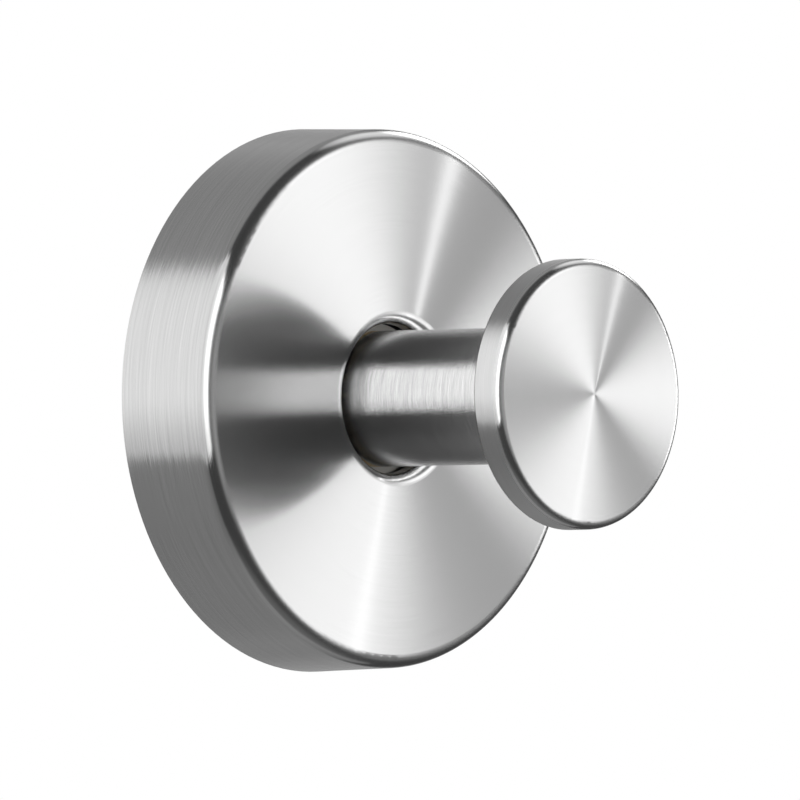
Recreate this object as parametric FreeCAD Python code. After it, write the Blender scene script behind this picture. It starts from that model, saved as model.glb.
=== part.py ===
"""Suction cup hook: a brushed steel robe hook that a turned knob draws tight on a soft pad.

The wall is the plane y = 0 and the hook's axis runs out of it along -Y, with +Z up. The origin is
the middle of the face that rests on the wall. "Reach" is a distance from the wall along that axis.
Nearly every piece is turned about the axis, so outlines are written as (radius, reach) corners.
The pieces stand as they do in use: the stud is drawn out and the middle of the pad with it.
"""
import FreeCAD
import Part
import math
import os

# Cover: one drawn sheet
cover_back_d = 56.0          # across its edge at the wall
cover_side_taper = 0.3       # the side wall leans in by this much up to the rim
cover_rim_reach = 12.1       # from the wall to the front rim
cover_face_rise = 0.9        # the face rises this much from the rim to the hole
cover_sheet = 0.7
cover_rim_round = 1.45
cover_wall_gap = 0.4         # the steel edge stays off the wall
cover_hole_roll = 1.25       # outer radius of the edge rolled into the hole
cover_collar_length = 2.2    # from the face down to the end of the rolled-in collar

# Hook: tube with a disc knob
hook_reach = 39.8            # from the wall to the front edge of the knob
post_d = 14.0
post_wall = 1.2
post_end_chamfer = 0.25
knob_d = 27.7
knob_thick = 3.5
knob_face_rise = 0.6         # the front is a shallow cone, this much higher in the middle
knob_front_round = 0.9
knob_back_round = 0.35
knob_spigot_length = 6.0
knob_spigot_chamfer = 0.5

# Screw that draws the pad
thread_d = 8.0
thread_pitch = 1.25
tightening_turns = 2.5
stud_across_flats = 6.6
stud_length = 16.5           # of the threaded shank, above the flange
stud_end_chamfer = 0.8
stud_flange_d = 16.0
stud_flange_thick = 1.4
stud_flange_holes = 4        # the pad's material grips through these
stud_flange_hole_d = 2.2

# Threaded insert in the foot of the tube
insert_flange_thick = 1.2
insert_length = 12.0         # of the sleeve above its flange
insert_lead_chamfer = 0.6

# Soft pad
pad_rim_thick = 1.8
pad_rim_width = 4.0          # the flat ring that seals on the wall
pad_edge_round = 0.5
pad_boss_wall = 2.5          # round the stud's flange
pad_skin = 0.8               # over and under the stud's flange
pad_web_thick = 1.6

# Moulded housing
housing_wall = 1.5
housing_top = 1.5
housing_foot_width = 3.4     # ring that presses on the pad's rim
housing_foot_thick = 1.8
housing_hub_floor = 2.0
housing_corner_round = 1.2
rib_count = 8
rib_thick = 1.2
grip_count = 12              # small ribs that hold the cover
grip_width = 1.4

# Washers
thrust_washer_d = 17.4
thrust_washer_thick = 0.8
glide_washer_d = 15.6
glide_washer_thick = 0.6

# Clearances
post_gap = 0.75              # radial, the dark gap round the post in the cover's hole
pad_edge_gap = 0.9           # radial, pad to the inside of the cover
well_fit = 0.6               # radial, the larger washer in its well
thread_fit = 0.05            # radial, stud in insert
guide_fit = 0.08             # flats and rounds of the stud in the hub
press_fit = 0.02             # radial, pieces pressed into the tube
grip_fit = 0.03              # grip ribs to the cover
cover_fit = 0.3              # housing to the cover, apart from the grip ribs
pad_stop_gap = 0.2           # boss to the hub when fully drawn
washer_bore_fit = 0.3        # radial, washers round the stud
rib_pad_gap = 0.5

# Worked out from the above
cover_rim_d = cover_back_d - 2 * cover_side_taper
cover_hole_d = post_d + 2 * post_gap
pad_d = cover_back_d - 2 * (cover_sheet + pad_edge_gap)
pad_boss_d = stud_flange_d + 2 * pad_boss_wall
housing_well_d = max(thrust_washer_d, glide_washer_d) + 2 * well_fit
stud_travel = thread_pitch * tightening_turns
flange_reach = stud_travel + pad_skin
flange_top_reach = flange_reach + stud_flange_thick
boss_top_reach = flange_top_reach + pad_skin
stud_top_reach = flange_top_reach + stud_length
hub_under_reach = boss_top_reach + pad_stop_gap
hub_top_reach = hub_under_reach + housing_hub_floor
thrust_top_reach = hub_top_reach + thrust_washer_thick
foot_reach = thrust_top_reach + glide_washer_thick
post_reach = foot_reach + insert_flange_thick
knob_back_reach = hook_reach - knob_thick
post_bore_d = post_d - 2 * post_wall
cover_hole_reach = cover_rim_reach + cover_face_rise
pad_web_foot_r = pad_d / 2 - pad_rim_width
washer_bore_d = thread_d + 2 * washer_bore_fit

OUT = FreeCAD.Vector(0, -1, 0)
AXIS = FreeCAD.Vector(0, 1, 0)
CENTRE = FreeCAD.Vector(0, 0, 0)
EVERY_WAY = 100.0            # larger than the part, for cutting blocks


def place(radius, reach):
    """Point of an outline, in the half plane that is turned about the axis."""
    return FreeCAD.Vector(radius, -reach, 0)


def rounded_edges(corners, closed):
    """Edges through the corners, each (radius, reach) or (radius, reach, rounding), with tangent arcs."""
    points = [place(c[0], c[1]) for c in corners]
    roundings = [c[2] if len(c) > 2 else 0.0 for c in corners]
    count = len(points)
    starts, ends, arcs = [], [], []
    for i, point in enumerate(points):
        at_end = not closed and i in (0, count - 1)
        if at_end or roundings[i] == 0.0:
            starts.append(point)
            ends.append(point)
            arcs.append(None)
            continue
        back = (points[i - 1] - point).normalize()
        ahead = (points[(i + 1) % count] - point).normalize()
        half = back.getAngle(ahead) / 2
        trim = roundings[i] / math.tan(half)
        middle = (back + ahead).normalize()
        centre = point + middle * (roundings[i] / math.sin(half))
        starts.append(point + back * trim)
        ends.append(point + ahead * trim)
        arcs.append(centre - middle * roundings[i])
    edges = []
    for i in range(count):
        if arcs[i] is not None:
            edges.append(Part.Arc(starts[i], arcs[i], ends[i]).toShape())
        if closed or i < count - 1:
            edges.append(Part.LineSegment(ends[i], starts[(i + 1) % count]).toShape())
    return edges


def turned(corners):
    """Solid of revolution about the hook's axis."""
    face = Part.Face(Part.Wire(rounded_edges(corners, True)))
    return face.revolve(CENTRE, AXIS, 360)


def rod(diameter, reach, length):
    """Round bar on the axis, from a reach outwards."""
    return Part.makeCylinder(diameter / 2, length, place(0, reach), OUT)


def ring(outer_d, inner_d, reach, thick):
    return rod(outer_d, reach, thick).cut(rod(inner_d, reach, thick))


def around(shape, count):
    """Copies of a shape, evenly spaced about the axis."""
    copies = []
    for i in range(count):
        copy = shape.copy()
        copy.rotate(CENTRE, AXIS, 360.0 * i / count)
        copies.append(copy)
    return copies


def flatted(diameter, across_flats, reach, length):
    """Round bar with two opposite flats, facing up and down."""
    corner = FreeCAD.Vector(-EVERY_WAY / 2, -reach - length, -across_flats / 2)
    slab = Part.makeBox(EVERY_WAY, length, across_flats, corner)
    return rod(diameter, reach, length).common(slab)


def cover():
    """Drawn sheet: side wall, rounded rim, shallow cone and the hole's rolled-in collar."""
    skin = Part.Wire(rounded_edges([
        (cover_back_d / 2, cover_wall_gap),
        (cover_rim_d / 2, cover_rim_reach, cover_rim_round),
        (cover_hole_d / 2, cover_hole_reach, cover_hole_roll),
        (cover_hole_d / 2, cover_hole_reach - cover_collar_length),
    ], False))
    section = skin.makeOffset2D(cover_sheet, 0, True, True, False)
    return section.revolve(CENTRE, AXIS, 360)


def cover_inner_radius(reach):
    """Inside of the cover's tapering side wall at a reach."""
    along = (reach - cover_wall_gap) / (cover_rim_reach - cover_wall_gap)
    return cover_back_d / 2 + (cover_rim_d - cover_back_d) / 2 * along - cover_sheet


def cover_inner_reach(radius):
    """Underside of the cover's sloping face at a radius."""
    along = (cover_rim_d / 2 - radius) / (cover_rim_d / 2 - cover_hole_d / 2)
    return cover_rim_reach + cover_face_rise * along - cover_sheet


def post():
    tube = turned([
        (post_bore_d / 2, post_reach),
        (post_d / 2, post_reach),
        (post_d / 2, knob_back_reach - post_end_chamfer),
        (post_d / 2 - post_end_chamfer, knob_back_reach),
        (post_bore_d / 2, knob_back_reach),
    ])
    return tube


def knob():
    """Disc with rounded edges and a shallow cone in front, turned with the spigot that enters the tube."""
    spigot_r = post_bore_d / 2 - press_fit
    spigot_end = knob_back_reach - knob_spigot_length
    return turned([
        (0, spigot_end),
        (spigot_r - knob_spigot_chamfer, spigot_end),
        (spigot_r, spigot_end + knob_spigot_chamfer),
        (spigot_r, knob_back_reach),
        (knob_d / 2, knob_back_reach, knob_back_round),
        (knob_d / 2, hook_reach, knob_front_round),
        (0, hook_reach + knob_face_rise),
    ])


def post_insert():
    """Sleeve pressed into the tube's foot. Its flange closes the foot and turns on the washers."""
    sleeve_r = post_bore_d / 2 - press_fit
    sleeve_top = post_reach + insert_length
    bore_r = thread_d / 2 + thread_fit
    return turned([
        (bore_r, foot_reach),
        (post_d / 2, foot_reach),
        (post_d / 2, post_reach),
        (sleeve_r, post_reach),
        (sleeve_r, sleeve_top - insert_lead_chamfer),
        (sleeve_r - insert_lead_chamfer, sleeve_top),
        (bore_r, sleeve_top),
    ])


def pad_stud():
    """Threaded shank with two flats, on a flange that the pad is moulded round."""
    flange = rod(stud_flange_d, flange_reach, stud_flange_thick)
    hole_circle_r = (stud_flange_d + thread_d) / 4
    hole = rod(stud_flange_hole_d, flange_reach, stud_flange_thick)
    hole.translate(FreeCAD.Vector(hole_circle_r, 0, 0))
    for cut in around(hole, stud_flange_holes):
        flange = flange.cut(cut)
    shank = turned([
        (0, flange_top_reach),
        (thread_d / 2, flange_top_reach),
        (thread_d / 2, stud_top_reach - stud_end_chamfer),
        (thread_d / 2 - stud_end_chamfer, stud_top_reach),
        (0, stud_top_reach),
    ])
    flats = flatted(thread_d, stud_across_flats, flange_top_reach, stud_length)
    return flange.fuse(shank.common(flats)).removeSplitter()


def suction_pad():
    """Soft disc: flat sealing ring on the wall, dished web, and a boss moulded round the stud."""
    boss_r = pad_boss_d / 2
    web_slope = stud_travel / (pad_web_foot_r - boss_r)
    web_rise = pad_web_thick * math.sqrt(1 + web_slope ** 2)
    body = turned([
        (0, stud_travel),
        (boss_r, stud_travel),
        (pad_web_foot_r, 0),
        (pad_d / 2, 0),
        (pad_d / 2, pad_rim_thick, pad_edge_round),
        (pad_web_foot_r, pad_rim_thick),
        (boss_r, stud_travel + web_rise),
        (boss_r, boss_top_reach, pad_edge_round),
        (0, boss_top_reach),
    ])
    return body.cut(pad_stud())


def housing_shell():
    """Outline of the housing turned about the axis: foot ring, outer wall, top, well and hub floor."""
    foot_reach_low = pad_rim_thick
    well_r = housing_well_d / 2
    outer_low = cover_inner_radius(foot_reach_low) - cover_fit
    top_corner_r = cover_inner_radius(cover_rim_reach) - cover_fit
    top_outer = cover_inner_reach(top_corner_r) - cover_fit
    top_inner = cover_inner_reach(well_r) - cover_fit
    foot_inner_r = outer_low - housing_foot_width
    foot_top = foot_reach_low + housing_foot_thick
    wall_inner_low = outer_low - housing_wall
    wall_inner_high = top_corner_r - housing_wall
    return turned([
        (0, hub_under_reach),
        (well_r + housing_wall, hub_under_reach),
        (well_r + housing_wall, top_inner - housing_top),
        (wall_inner_high, top_outer - housing_top),
        (wall_inner_low, foot_top),
        (foot_inner_r, foot_top),
        (foot_inner_r, foot_reach_low),
        (outer_low, foot_reach_low),
        (top_corner_r, top_outer, housing_corner_round),
        (well_r, top_inner),
        (well_r, hub_top_reach),
        (0, hub_top_reach),
    ])


def housing_rib():
    """Upright web from the well to the outer wall. Its lower edge follows the drawn pad."""
    inner_r = housing_well_d / 2 + housing_wall / 2
    outer_r = cover_inner_radius(pad_rim_thick) - cover_fit - housing_wall / 2
    top_outer = cover_inner_reach(outer_r) - cover_fit - housing_top / 2
    top_inner = cover_inner_reach(inner_r) - cover_fit - housing_top / 2
    low_outer = pad_rim_thick + housing_foot_thick / 2
    corners = [
        place(inner_r, boss_top_reach + rib_pad_gap),
        place(pad_boss_d / 2 + rib_pad_gap, boss_top_reach + rib_pad_gap),
        place(outer_r, low_outer + rib_pad_gap),
        place(outer_r, top_outer),
        place(inner_r, top_inner),
    ]
    outline = Part.makePolygon(corners + corners[:1])
    rib = Part.Face(outline).extrude(FreeCAD.Vector(0, 0, rib_thick))
    rib.translate(FreeCAD.Vector(0, 0, -rib_thick / 2))
    return rib


def grip_rib():
    """Small rib on the outer wall that holds the cover."""
    low = pad_rim_thick
    high = cover_rim_reach - cover_rim_round - cover_sheet
    corners = [
        place(cover_inner_radius(low) - cover_fit - housing_wall / 2, low),
        place(cover_inner_radius(low) - grip_fit, low),
        place(cover_inner_radius(high) - grip_fit, high),
        place(cover_inner_radius(high) - cover_fit - housing_wall / 2, high),
    ]
    outline = Part.makePolygon(corners + corners[:1])
    rib = Part.Face(outline).extrude(FreeCAD.Vector(0, 0, grip_width))
    rib.translate(FreeCAD.Vector(0, 0, -grip_width / 2))
    return rib


def pressure_housing():
    ribs = around(housing_rib(), rib_count) + around(grip_rib(), grip_count)
    body = housing_shell().multiFuse(ribs)
    guide = flatted(
        thread_d + 2 * guide_fit,
        stud_across_flats + 2 * guide_fit,
        hub_under_reach,
        housing_hub_floor,
    )
    return body.cut(guide).removeSplitter()


def thrust_washer():
    return ring(thrust_washer_d, washer_bore_d, hub_top_reach, thrust_washer_thick)


def glide_washer():
    return ring(glide_washer_d, washer_bore_d, thrust_top_reach, glide_washer_thick)


PIECES = {
    "suction_pad": suction_pad,
    "pad_stud": pad_stud,
    "pressure_housing": pressure_housing,
    "cover": cover,
    "thrust_washer": thrust_washer,
    "glide_washer": glide_washer,
    "post_insert": post_insert,
    "post": post,
    "knob": knob,
}

os.makedirs("parts", exist_ok=True)
for name, make in PIECES.items():
    shape = make()
    shape.exportStep("parts/" + name + ".step")
    box = shape.optimalBoundingBox(False)
    print(name, "solids", len(shape.Solids), "valid", shape.isValid(), "mm3", round(shape.Volume, 1),
          "reach", round(-box.YMax, 3), round(-box.YMin, 3), "across", round(box.XLength, 3))
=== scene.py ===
"""Looks of the suction cup hook: brushed steel, soft clear pad, moulded housing, and a plain studio.

Lengths are metres, in the same frame as the solids: the wall is the plane y = 0, the hook's axis
runs out of it along -Y, and +Z is up. "Reach" is a distance from the wall along that axis.
"""

import math

import bmesh
import bpy
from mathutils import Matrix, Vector


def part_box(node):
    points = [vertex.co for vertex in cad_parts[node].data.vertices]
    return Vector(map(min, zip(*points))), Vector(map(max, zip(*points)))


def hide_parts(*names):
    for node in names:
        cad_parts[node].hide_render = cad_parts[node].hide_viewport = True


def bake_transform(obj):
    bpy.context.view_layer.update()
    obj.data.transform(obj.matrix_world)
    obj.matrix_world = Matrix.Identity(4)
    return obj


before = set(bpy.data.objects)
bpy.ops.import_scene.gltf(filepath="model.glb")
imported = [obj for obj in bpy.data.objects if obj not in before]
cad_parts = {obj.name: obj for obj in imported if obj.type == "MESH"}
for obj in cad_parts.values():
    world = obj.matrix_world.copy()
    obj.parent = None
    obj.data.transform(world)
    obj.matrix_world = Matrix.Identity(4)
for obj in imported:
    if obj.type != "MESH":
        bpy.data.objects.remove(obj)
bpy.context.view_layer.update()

# Camera: a long lens, level with the hook and well to its left
CAMERA_AZIMUTH = -46.9
CAMERA_ELEVATION = -1.4
CAMERA_DISTANCE = 2.6
AIM_REACH = 0.0132
AIM_HEIGHT = -0.00017
PIXELS_PER_METRE = 9727.0
IMAGE_SIDE = 800
SENSOR_WIDTH = 36.0
NEAR_CLIP = 0.1
FAR_CLIP = 20.0

# Light tent round the hook: a plain grey shell with soft panels, as directions and angles in degrees
TENT_RADIUS = 1.2
TENT_SEGMENTS = 96
TENT_RINGS = 48
TENT_GREY = 0.065
# Long panels parallel to the hook's axis, by angle about it from the left towards the top, and by how
# far each direction leans to the wall: low, high, share of the level at low, lean low, lean high, level
LONG_PANEL_EDGE = 3.0        # fade below low and above high
LONG_PANEL_DIM = 24.0        # from low to where the level is full
LONG_PANEL_END = 0.05        # half of the fade at each lean
LONG_PANELS = (
    (-22.0, 52.0, 0.65, 0.3, 2.0, 1.05),
    (-22.0, 52.0, 0.65, -0.4, 0.3, 1.0),
    (-22.0, 49.0, 0.65, -0.8, -0.4, 2.4),
    (54.0, 138.0, 1.0, 0.0, 2.0, 0.265),
    (-128.0, -24.0, 1.0, 0.0, 2.0, 0.17),
)
# Round panels: azimuth from +X towards +Y, elevation, full size, end of the fall-off, level
ROUND_PANELS = (
    (-21.1, 1.9, 1.0, 12.2, 4.4),
    (-52.6, 15.0, 1.0, 16.2, 2.0),
    (-50.2, -10.1, 1.0, 13.5, 1.9),
    (-43.0, 1.4, 20.0, 50.0, 0.21),
    (0.0, -90.0, 10.0, 45.0, 0.1),
    (60.0, 0.0, 10.0, 45.0, 0.5),
    (8.0, 32.0, 2.0, 15.0, 5.0),
    (-10.0, 50.0, 2.0, 22.0, 1.0),
    (90.0, 0.0, 10.0, 40.0, 1.2),
    (-90.0, 0.0, 8.0, 24.0, 0.3),
    (-43.0, 1.4, 1.0, 6.0, 0.5),
)
# Small lamps that draw the thin bright lines across both faces: azimuth, elevation, watts
LINE_LAMPS = (
    (-36.0, 13.0, 0.046),
    (-46.5, -15.0, 0.024),
)
LAMP_DISTANCE = 1.0
LAMP_SIZE = 0.014

# Floor, below the tent
FLOOR_HEIGHT = -1.3
FLOOR_RADIUS = 9.0
FLOOR_SIDES = 64
FLOOR_TONE = 0.8
FLOOR_FILL = 0.8

# Brushed steel. Streaks say how much the tone varies and how far a line leans along its own run. A
# grain says how fine the noise is round the axis and, per metre, across the lines
STEEL_TONE = 0.6
STEEL_ROUGHNESS = 0.2
RIM_ROUGHNESS = 0.15         # rounded rims are smoother than faces and sides
FACE_STREAKS = (0.02, 0.0015)
TONE_GRAIN = (2.5, 11000.0)
LEAN_GRAIN = (5.0, 14000.0)
LINE_TURN = 0.25             # of a full turn: the highlight spreads across the brush lines
FACE_LEAN = 0.045            # outward slope of the brush lines on a face
LEAN_START = 0.00015         # from the middle of a face to where that slope is full
TIP_RADIUS = 0.0018          # the tip of a cone is shaded by its own facets inside this, not smoothed
NOISE_LOW = 0.25             # noise seldom leaves the range from low to high
NOISE_HIGH = 0.75
SMALLEST_RADIUS = 1e-6       # keeps the noise off a division by nothing
# Where a surface counts as a face or as a rounded rim, by the part of its normal along the hook's axis
FACE_START = 0.6
FACE_FULL = 0.9
RIM_START = 0.05
RIM_FULL = 0.4
RIM_FADE = 0.92
RIM_END = 0.995

# Hidden metal and plastic
POLISH_PATCHES = 600.0       # per metre
TURNING_DEPTH = 0.00002
GRAIN_DEPTH = 0.00003
FLOW_MARKS = 90.0            # per metre
PATCH_LOW = 0.3              # noise below this is the dark or smooth end
PATCH_HIGH = 0.7             # and above this the pale or rough end
POLISH_SPREAD = (0.8, 1.25)  # of the roughness
SATIN_SPREAD = (0.9, 1.1)    # of the roughness
TINT_SPREAD = (0.9, 1.1)     # of the colour

# Clear elastomer: glossy up to the end of the seal, satin from a little further off the wall
RIPPLES = 220.0              # per metre
RIPPLE_DEPTH = 0.00012
SEAL_END = 0.0001
SATIN_START = 0.0006
SEAL_ROUGHNESS = 0.05
SATIN_ROUGHNESS = 0.13

# Soft pad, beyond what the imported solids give
PAD_RIM_WIDTH = 0.004
PAD_RIM_THICK = 0.00177      # a hair under the housing, so that the two faces don't meet
PAD_BOSS_RADIUS = 0.0105
PAD_SKIN = 0.0008
PAD_WEB_THICK = 0.00165
PAD_INNER_GAP = 0.00005      # all round the stud, for the same reason
STUD_RADIUS = 0.004
STUD_FLANGE_RADIUS = 0.008
PAD_GROOVES = (0.0013, 0.0026)      # from the inner edge of the sealing ring
GROOVE_HALF_WIDTH = 0.00015
GROOVE_DEPTH = 0.00015
GROOVE_ROUNDING = 0.0001
LIP_ROUNDING = 0.0002        # outer edge on the wall
EDGE_ROUNDING = 0.0005       # outer edge under the housing, and the top of the boss
BOSS_FOOT_ROUNDING = 0.0008
WEB_ROUNDING = 0.002         # where the web meets the boss below and the ring above
FOOT_ROUNDING = 0.003        # where the web meets the ring on the wall
PAD_SIDES = 192
ARC_STEPS = 6
ON_AXIS = 1e-9               # a smaller radius is a point on the axis
SHARP_ANGLE = math.radians(40)


def make_camera():
    data = bpy.data.cameras.new("photo_camera")
    camera = bpy.data.objects.new("photo_camera", data)
    bpy.context.scene.collection.objects.link(camera)
    azimuth = math.radians(CAMERA_AZIMUTH)
    elevation = math.radians(CAMERA_ELEVATION)
    level = math.cos(elevation)
    back = Vector((math.sin(azimuth) * level, -math.cos(azimuth) * level, math.sin(elevation)))
    camera.location = Vector((0.0, -AIM_REACH, AIM_HEIGHT)) + back * CAMERA_DISTANCE
    camera.rotation_mode = "QUATERNION"
    camera.rotation_quaternion = (-back).to_track_quat("-Z", "Y")
    data.sensor_width = SENSOR_WIDTH
    data.lens = PIXELS_PER_METRE * CAMERA_DISTANCE * SENSOR_WIDTH / IMAGE_SIDE
    data.clip_start = NEAR_CLIP
    data.clip_end = FAR_CLIP
    bpy.context.scene.camera = camera


class Nodes:
    """Short calls for building one node tree."""

    def __init__(self, tree):
        self.tree = tree
        tree.nodes.clear()

    def add(self, kind, inputs=None, **settings):
        node = self.tree.nodes.new(kind)
        for name, value in settings.items():
            setattr(node, name, value)
        for name, value in (inputs or {}).items():
            self.feed(node, name, value)
        return node

    def feed(self, node, name, value):
        socket = node.inputs[name]
        if isinstance(value, bpy.types.NodeSocket):
            self.tree.links.new(value, socket)
        else:
            socket.default_value = value

    def math(self, operation, *values):
        node = self.tree.nodes.new("ShaderNodeMath")
        node.operation = operation
        for i, value in enumerate(values):
            self.feed(node, i, value)
        return node.outputs[0]

    def vector(self, operation, *values, output=0, scale=None):
        node = self.tree.nodes.new("ShaderNodeVectorMath")
        node.operation = operation
        for i, value in enumerate(values):
            self.feed(node, i, value)
        if scale is not None:
            self.feed(node, "Scale", scale)
        return node.outputs[output]

    def ramp(self, value, low, high, to_low=0.0, to_high=1.0, kind="SMOOTHSTEP"):
        node = self.add("ShaderNodeMapRange", {
            "Value": value, "From Min": low, "From Max": high,
            "To Min": to_low, "To Max": to_high}, interpolation_type=kind)
        return node.outputs[0]


def new_material(name):
    material = bpy.data.materials.new(name)
    material.use_nodes = True
    return material, Nodes(material.node_tree)


def noise_at(nodes, place, scale, detail):
    return nodes.add("ShaderNodeTexNoise", {"Vector": place, "Scale": scale, "Detail": detail}).outputs[0]


def object_place(nodes):
    return nodes.add("ShaderNodeTexCoord").outputs["Object"]


def brush_lines(nodes, around, across, detail=3.0):
    """Streaky noise, 0 to 1, that runs in circles about the hook's axis on faces and side walls alike."""
    parts = nodes.add("ShaderNodeSeparateXYZ", {"Vector": object_place(nodes)}).outputs
    square = nodes.math("ADD", nodes.math("MULTIPLY", parts["X"], parts["X"]),
                        nodes.math("MULTIPLY", parts["Z"], parts["Z"]))
    radius = nodes.math("MAXIMUM", nodes.math("SQRT", square), SMALLEST_RADIUS)
    turn_x = nodes.math("MULTIPLY", nodes.math("DIVIDE", parts["X"], radius), around)
    turn_z = nodes.math("MULTIPLY", nodes.math("DIVIDE", parts["Z"], radius), around)
    depth = nodes.math("MULTIPLY", nodes.math("ADD", radius, parts["Y"]), across)
    joined = nodes.add("ShaderNodeCombineXYZ", {"X": turn_x, "Y": turn_z, "Z": depth})
    return noise_at(nodes, joined.outputs[0], 1.0, detail)


def swing(nodes, noise):
    """Noise spread over the range from -1 to 1."""
    return nodes.ramp(noise, NOISE_LOW, NOISE_HIGH, -1.0, 1.0, kind="LINEAR")


def brush_normal(nodes, geometry, tangent, facing, sway):
    """Normal that follows the brush lines: no skew along them but their sway, and an outward lean on
    a face."""
    flat = nodes.vector("MULTIPLY", geometry["Position"], (1.0, 0.0, 1.0))
    outwards = nodes.vector("NORMALIZE", flat)
    radius = nodes.vector("LENGTH", flat, output="Value")
    off_tip = nodes.math("GREATER_THAN", radius, TIP_RADIUS)
    on_tip = nodes.math("SUBTRACT", 1.0, off_tip)
    normal = nodes.vector("ADD", nodes.vector("SCALE", geometry["Normal"], scale=off_tip),
                          nodes.vector("SCALE", geometry["True Normal"], scale=on_tip))
    around = nodes.vector("CROSS_PRODUCT", outwards, (0.0, 1.0, 0.0))
    skew = nodes.vector("DOT_PRODUCT", normal, around, output="Value")
    normal = nodes.vector("SUBTRACT", normal, nodes.vector("SCALE", around, scale=skew))
    normal = nodes.vector("ADD", normal, nodes.vector("SCALE", tangent, scale=sway))
    slope = nodes.math("MULTIPLY", facing, nodes.ramp(radius, 0.0, LEAN_START, 0.0, FACE_LEAN))
    normal = nodes.vector("ADD", normal, nodes.vector("SCALE", outwards, scale=slope))
    return nodes.vector("NORMALIZE", normal)


def brushed_steel(name, side_streaks, painted_side_tone=STEEL_TONE, side_roughness=STEEL_ROUGHNESS,
                  grain=LEAN_GRAIN, painted_back_shade=1.0):
    """Brush lines run in circles about the hook's axis. Faces and sides have their own streaks. A side's
    tone is painted light, lighter than the face of the same steel on the post and knob, and a face towards
    the wall is darkened to the given share of the tone as painted shade."""
    material, nodes = new_material(name)
    tangent = nodes.add("ShaderNodeTangent", direction_type="RADIAL", axis="Y").outputs[0]
    geometry = nodes.add("ShaderNodeNewGeometry").outputs
    along = nodes.add("ShaderNodeSeparateXYZ", {"Vector": geometry["Normal"]}).outputs["Y"]
    flatness = nodes.math("ABSOLUTE", along)
    facing = nodes.ramp(flatness, FACE_START, FACE_FULL)
    rim = nodes.math("MULTIPLY", nodes.ramp(flatness, RIM_START, RIM_FULL),
                     nodes.ramp(flatness, RIM_FADE, RIM_END, 1.0, 0.0))

    def side_to_face(side, face):
        return nodes.ramp(facing, 0.0, 1.0, side, face, kind="LINEAR")

    streaks = swing(nodes, brush_lines(nodes, *TONE_GRAIN))
    change = nodes.math("MULTIPLY", streaks, side_to_face(side_streaks[0], FACE_STREAKS[0]))
    # painted light: a side's tone can be set apart from the face tone of the same steel, and it is lighter
    # on the post and knob
    grey = nodes.math("MULTIPLY", nodes.math("ADD", change, 1.0), side_to_face(painted_side_tone, STEEL_TONE))
    # painted shade: a face towards the wall is darkened to the given share of the tone, and this also
    # darkens its reflection in nearby faces
    grey = nodes.math("MULTIPLY", grey, nodes.ramp(along, FACE_START, FACE_FULL, 1.0, painted_back_shade))
    colour = nodes.add("ShaderNodeCombineColor", {"Red": grey, "Green": grey, "Blue": grey}).outputs[0]
    sway = nodes.math("MULTIPLY", swing(nodes, brush_lines(nodes, *grain)),
                      side_to_face(side_streaks[1], FACE_STREAKS[1]))
    roughness = nodes.ramp(
        rim, 0.0, 1.0, side_to_face(side_roughness, STEEL_ROUGHNESS), RIM_ROUGHNESS, kind="LINEAR")
    shader = nodes.add("ShaderNodeBsdfPrincipled", {
        "Base Color": colour, "Metallic": 1.0, "Roughness": roughness,
        "Anisotropic": 1.0, "Anisotropic Rotation": LINE_TURN, "Tangent": tangent,
        "Normal": brush_normal(nodes, geometry, tangent, facing, sway)})
    nodes.add("ShaderNodeOutputMaterial", {"Surface": shader.outputs[0]})
    return material


def turned_metal(name, colour, roughness, pitch):
    """Fine turning marks round the hook's axis, with a slightly uneven polish."""
    material, nodes = new_material(name)
    marks = brush_lines(nodes, 0.5, 1.0 / pitch, detail=1.0)
    patches = noise_at(nodes, object_place(nodes), POLISH_PATCHES, 4.0)
    bump = nodes.add("ShaderNodeBump", {"Height": marks, "Distance": TURNING_DEPTH, "Strength": 0.4})
    smooth, rough = (roughness * share for share in POLISH_SPREAD)
    polish = nodes.ramp(patches, PATCH_LOW, PATCH_HIGH, smooth, rough)
    shader = nodes.add("ShaderNodeBsdfPrincipled", {
        "Base Color": (*colour, 1), "Metallic": 1.0, "Normal": bump.outputs[0], "Roughness": polish})
    nodes.add("ShaderNodeOutputMaterial", {"Surface": shader.outputs[0]})
    return material


def moulded_plastic(name, colour, roughness, grain):
    """Fine spark-eroded grain, as a mould leaves it, with faint broad differences in tint."""
    material, nodes = new_material(name)
    place = object_place(nodes)
    fine = noise_at(nodes, place, 1.0 / grain, 3.0)
    flow = noise_at(nodes, place, FLOW_MARKS, 2.0)
    bump = nodes.add("ShaderNodeBump", {"Height": fine, "Distance": GRAIN_DEPTH, "Strength": 0.5})
    tint = nodes.add("ShaderNodeValToRGB", {"Fac": flow})
    for element, position, share in zip(tint.color_ramp.elements, (PATCH_LOW, PATCH_HIGH), TINT_SPREAD):
        element.position = position
        element.color = (*[c * share for c in colour], 1)
    smooth, rough = (roughness * share for share in SATIN_SPREAD)
    satin = nodes.ramp(fine, PATCH_LOW, PATCH_HIGH, smooth, rough)
    shader = nodes.add("ShaderNodeBsdfPrincipled", {
        "Base Color": tint.outputs[0], "Normal": bump.outputs[0], "Roughness": satin})
    nodes.add("ShaderNodeOutputMaterial", {"Surface": shader.outputs[0]})
    return material


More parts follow.
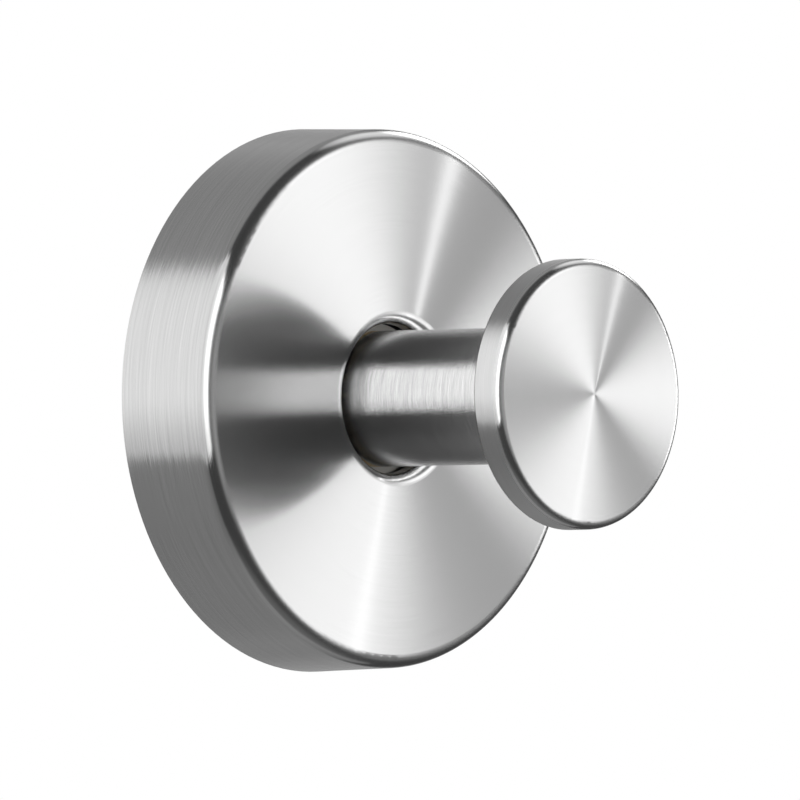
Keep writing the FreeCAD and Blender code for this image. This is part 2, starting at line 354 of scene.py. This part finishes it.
def soft_clear(name):
    """Clear elastomer: glossy where it seals on the wall, satin elsewhere, with faint flow marks."""
    material, nodes = new_material(name)
    place = object_place(nodes)
    depth = nodes.add("ShaderNodeSeparateXYZ", {"Vector": place}).outputs["Y"]
    reach = nodes.math("MULTIPLY", depth, -1.0)
    flow = noise_at(nodes, place, RIPPLES, 3.0)
    bump = nodes.add("ShaderNodeBump", {"Height": flow, "Distance": RIPPLE_DEPTH, "Strength": 0.35})
    shader = nodes.add("ShaderNodeBsdfPrincipled", {
        "Base Color": (0.9, 0.93, 0.94, 1), "IOR": 1.48, "Transmission Weight": 0.95,
        "Roughness": nodes.ramp(reach, SEAL_END, SATIN_START, SEAL_ROUGHNESS, SATIN_ROUGHNESS),
        "Normal": bump.outputs[0]})
    nodes.add("ShaderNodeOutputMaterial", {"Surface": shader.outputs[0]})
    return material


def rounded_outline(corners):
    """Outline through the corners, each (radius, reach) or (radius, reach, rounding), with tangent arcs."""
    points = []
    for i, corner in enumerate(corners):
        here = Vector(corner[:2])
        if len(corner) < 3 or i in (0, len(corners) - 1):
            points.append(here)
            continue
        back = (Vector(corners[i - 1][:2]) - here).normalized()
        ahead = (Vector(corners[i + 1][:2]) - here).normalized()
        half = back.angle(ahead) / 2
        middle = (back + ahead).normalized()
        centre = here + middle * (corner[2] / math.sin(half))
        start = here + back * (corner[2] / math.tan(half)) - centre
        sweep = start.angle_signed(here + ahead * (corner[2] / math.tan(half)) - centre)
        for step in range(ARC_STEPS + 1):
            turn = -sweep * step / ARC_STEPS
            c, s = math.cos(turn), math.sin(turn)
            points.append(centre + Vector((start.x * c - start.y * s, start.x * s + start.y * c)))
    return points


def lathed(name, outline, sides):
    """Closed solid of revolution about the hook's axis, from one point on the axis to another."""
    mesh = bpy.data.meshes.new(name)
    shape = bmesh.new()
    rings = []
    for radius, reach in outline:
        if radius < ON_AXIS:
            rings.append([shape.verts.new((0.0, -reach, 0.0))])
            continue
        ring = []
        for i in range(sides):
            turn = 2 * math.pi * i / sides
            ring.append(shape.verts.new((radius * math.cos(turn), -reach, radius * math.sin(turn))))
        rings.append(ring)
    for low, high in zip(rings, rings[1:]):
        for i in range(sides):
            k = (i + 1) % sides
            corners = [low[i % len(low)], low[k % len(low)], high[k % len(high)], high[i % len(high)]]
            shape.faces.new(list(dict.fromkeys(corners)))
    bmesh.ops.recalc_face_normals(shape, faces=shape.faces)
    for face in shape.faces:
        face.smooth = True
    for edge in shape.edges:
        edge.smooth = edge.calc_face_angle(0.0) < SHARP_ANGLE
    shape.to_mesh(mesh)
    shape.free()
    piece = bpy.data.objects.new(name, mesh)
    bpy.context.scene.collection.objects.link(piece)
    return piece


def make_pad():
    """Soft pad: sealing ring with two fine grooves, dished web, and a boss moulded round the stud."""
    low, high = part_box("suction_pad")
    radius, top = high[0], -low[1]
    under_stud = -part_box("pad_stud")[1][1]
    foot = radius - PAD_RIM_WIDTH
    boss = PAD_BOSS_RADIUS
    dish = under_stud - PAD_SKIN
    pocket_floor = under_stud - PAD_INNER_GAP
    pocket_roof = top - PAD_SKIN + PAD_INNER_GAP
    web_top = dish + PAD_WEB_THICK
    bore = STUD_RADIUS + PAD_INNER_GAP
    pocket = STUD_FLANGE_RADIUS + PAD_INNER_GAP
    outline = [(0.0, dish), (boss, dish, WEB_ROUNDING), (foot, 0.0, FOOT_ROUNDING)]
    for groove in PAD_GROOVES:
        at = foot + groove
        outline += [(at - GROOVE_HALF_WIDTH, 0.0), (at, GROOVE_DEPTH, GROOVE_ROUNDING),
                    (at + GROOVE_HALF_WIDTH, 0.0)]
    outline += [
        (radius, 0.0, LIP_ROUNDING), (radius, PAD_RIM_THICK, EDGE_ROUNDING),
        (foot, PAD_RIM_THICK, WEB_ROUNDING), (boss, web_top, BOSS_FOOT_ROUNDING),
        (boss, top, EDGE_ROUNDING), (bore, top), (bore, pocket_roof),
        (pocket, pocket_roof), (pocket, pocket_floor), (0.0, pocket_floor)]
    pad = lathed("soft_pad", rounded_outline(outline), PAD_SIDES)
    pad.data.materials.append(soft_clear("soft_clear"))
    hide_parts("suction_pad")
    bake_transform(pad)


def dress(node, material):
    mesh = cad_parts[node].data
    mesh.materials.clear()
    mesh.materials.append(material)


def towards(azimuth, elevation):
    """Direction from the hook: azimuth in degrees from +X towards +Y."""
    a, e = math.radians(azimuth), math.radians(elevation)
    return Vector((math.cos(a) * math.cos(e), math.sin(a) * math.cos(e), math.sin(e)))


def tent_terms(nodes):
    """Each panel of the tent, as a share from 0 to 1 in every direction, with its level."""
    way = nodes.vector("NORMALIZE", nodes.add("ShaderNodeNewGeometry").outputs["Position"])
    parts = nodes.add("ShaderNodeSeparateXYZ", {"Vector": way}).outputs
    left = nodes.math("MULTIPLY", parts["X"], -1.0)
    turn = nodes.math("DEGREES", nodes.math("ARCTAN2", parts["Z"], left))
    terms = []
    for low, high, dim, lean_low, lean_high, level in LONG_PANELS:
        share = nodes.math("MULTIPLY", nodes.ramp(turn, low - LONG_PANEL_EDGE, low),
                           nodes.ramp(turn, high, high + LONG_PANEL_EDGE, 1.0, 0.0))
        share = nodes.math("MULTIPLY", share, nodes.ramp(turn, low, low + LONG_PANEL_DIM, dim, 1.0))
        near_end = nodes.ramp(parts["Y"], lean_low - LONG_PANEL_END, lean_low + LONG_PANEL_END)
        far_end = nodes.ramp(
            parts["Y"], lean_high - LONG_PANEL_END, lean_high + LONG_PANEL_END, 1.0, 0.0)
        ends = nodes.math("MULTIPLY", near_end, far_end)
        terms.append((nodes.math("MULTIPLY", share, ends), level))
    for azimuth, elevation, full, end, level in ROUND_PANELS:
        near = nodes.vector("DOT_PRODUCT", way, towards(azimuth, elevation), output="Value")
        share = nodes.ramp(near, math.cos(math.radians(end)), math.cos(math.radians(full)))
        terms.append((share, level))
    return terms


def make_tent():
    """Shell that lights the hook and shows in its metal, but not to the camera."""
    bpy.ops.mesh.primitive_uv_sphere_add(
        segments=TENT_SEGMENTS, ring_count=TENT_RINGS, radius=TENT_RADIUS)
    tent = bpy.context.active_object
    tent.name = "light_tent"
    tent.visible_camera = False
    tent.visible_shadow = False
    material, nodes = new_material("light_tent")
    total = TENT_GREY
    for share, level in tent_terms(nodes):
        total = nodes.math("ADD", total, nodes.math("MULTIPLY", share, level))
    glow = nodes.add("ShaderNodeEmission", {"Color": (1, 1, 1, 1), "Strength": total})
    nodes.add("ShaderNodeOutputMaterial", {"Surface": glow.outputs[0]})
    tent.data.materials.append(material)


def make_line_lamps():
    for i, (azimuth, elevation, watts) in enumerate(LINE_LAMPS):
        data = bpy.data.lights.new("line_lamp_%d" % i, "AREA")
        data.shape = "DISK"
        data.size = LAMP_SIZE
        data.energy = watts
        lamp = bpy.data.objects.new("line_lamp_%d" % i, data)
        bpy.context.scene.collection.objects.link(lamp)
        lamp.visible_camera = False
        lamp.location = towards(azimuth, elevation) * LAMP_DISTANCE
        lamp.rotation_mode = "QUATERNION"
        lamp.rotation_quaternion = towards(azimuth, elevation).to_track_quat("Z", "Y")


def seen_share(nodes):
    """1 for rays of the camera, of a reflection and of the view through the clear pad, 0 for the rest."""
    rays = nodes.add("ShaderNodeLightPath").outputs
    seen = nodes.math("MAXIMUM", rays["Is Camera Ray"], rays["Is Glossy Ray"])
    return nodes.math("MAXIMUM", seen, rays["Is Transmission Ray"])


def make_world():
    """White wherever it is seen, and it adds no light to what is matt."""
    world = bpy.data.worlds.new("studio")
    bpy.context.scene.world = world
    world.use_nodes = True
    nodes = Nodes(world.node_tree)
    white = nodes.add("ShaderNodeBackground", {"Color": (1, 1, 1, 1), "Strength": seen_share(nodes)})
    nodes.add("ShaderNodeOutputWorld", {"Surface": white.outputs[0]})


def make_floor():
    """Pale floor far below the hook. The fill makes it white where it is seen."""
    bpy.ops.mesh.primitive_circle_add(vertices=FLOOR_SIDES, radius=FLOOR_RADIUS, fill_type="NGON")
    floor = bpy.context.active_object
    floor.name = "studio_floor"
    floor.location.z = FLOOR_HEIGHT
    material, nodes = new_material("pale_floor")
    own = nodes.add("ShaderNodeBsdfDiffuse", {"Color": (FLOOR_TONE, FLOOR_TONE, FLOOR_TONE, 1)})
    fill = nodes.add("ShaderNodeEmission", {
        "Color": (1, 1, 1, 1), "Strength": nodes.math("MULTIPLY", seen_share(nodes), FLOOR_FILL)})
    both = nodes.add("ShaderNodeAddShader")
    nodes.feed(both, 0, own.outputs[0])
    nodes.feed(both, 1, fill.outputs[0])
    nodes.add("ShaderNodeOutputMaterial", {"Surface": both.outputs[0]})
    floor.data.materials.append(material)


make_camera()
make_world()
make_floor()
make_tent()
make_line_lamps()
make_pad()
dress("cover", brushed_steel("cover_steel", (0.10, 0.03)))
# painted light: the post's steel is given a lighter tone than the cover's
dress("post", brushed_steel("post_steel", (0.16, 0.11), painted_side_tone=0.74, grain=(80.0, 9500.0)))
# painted light: the knob's side is given a lighter tone than its face
# painted shade: the knob's face towards the wall is darkened to 0.3 of the tone
dress("knob", brushed_steel("knob_steel", (0.05, 0.03), painted_side_tone=0.7, side_roughness=0.3, painted_back_shade=0.3))
dress("pad_stud", turned_metal("stud_zinc", (0.62, 0.63, 0.65), 0.3, 0.0002))
dress("thrust_washer", turned_metal("washer_steel", (0.58, 0.58, 0.58), 0.28, 0.0001))
dress("post_insert", turned_metal("insert_brass", (0.78, 0.58, 0.28), 0.25, 0.00015))
dress("pressure_housing", moulded_plastic("housing_plastic", (0.04, 0.04, 0.042), 0.45, 0.00012))
dress("glide_washer", moulded_plastic("washer_acetal", (0.78, 0.78, 0.75), 0.3, 0.0003))

bpy.context.scene.view_settings.view_transform = "Standard"
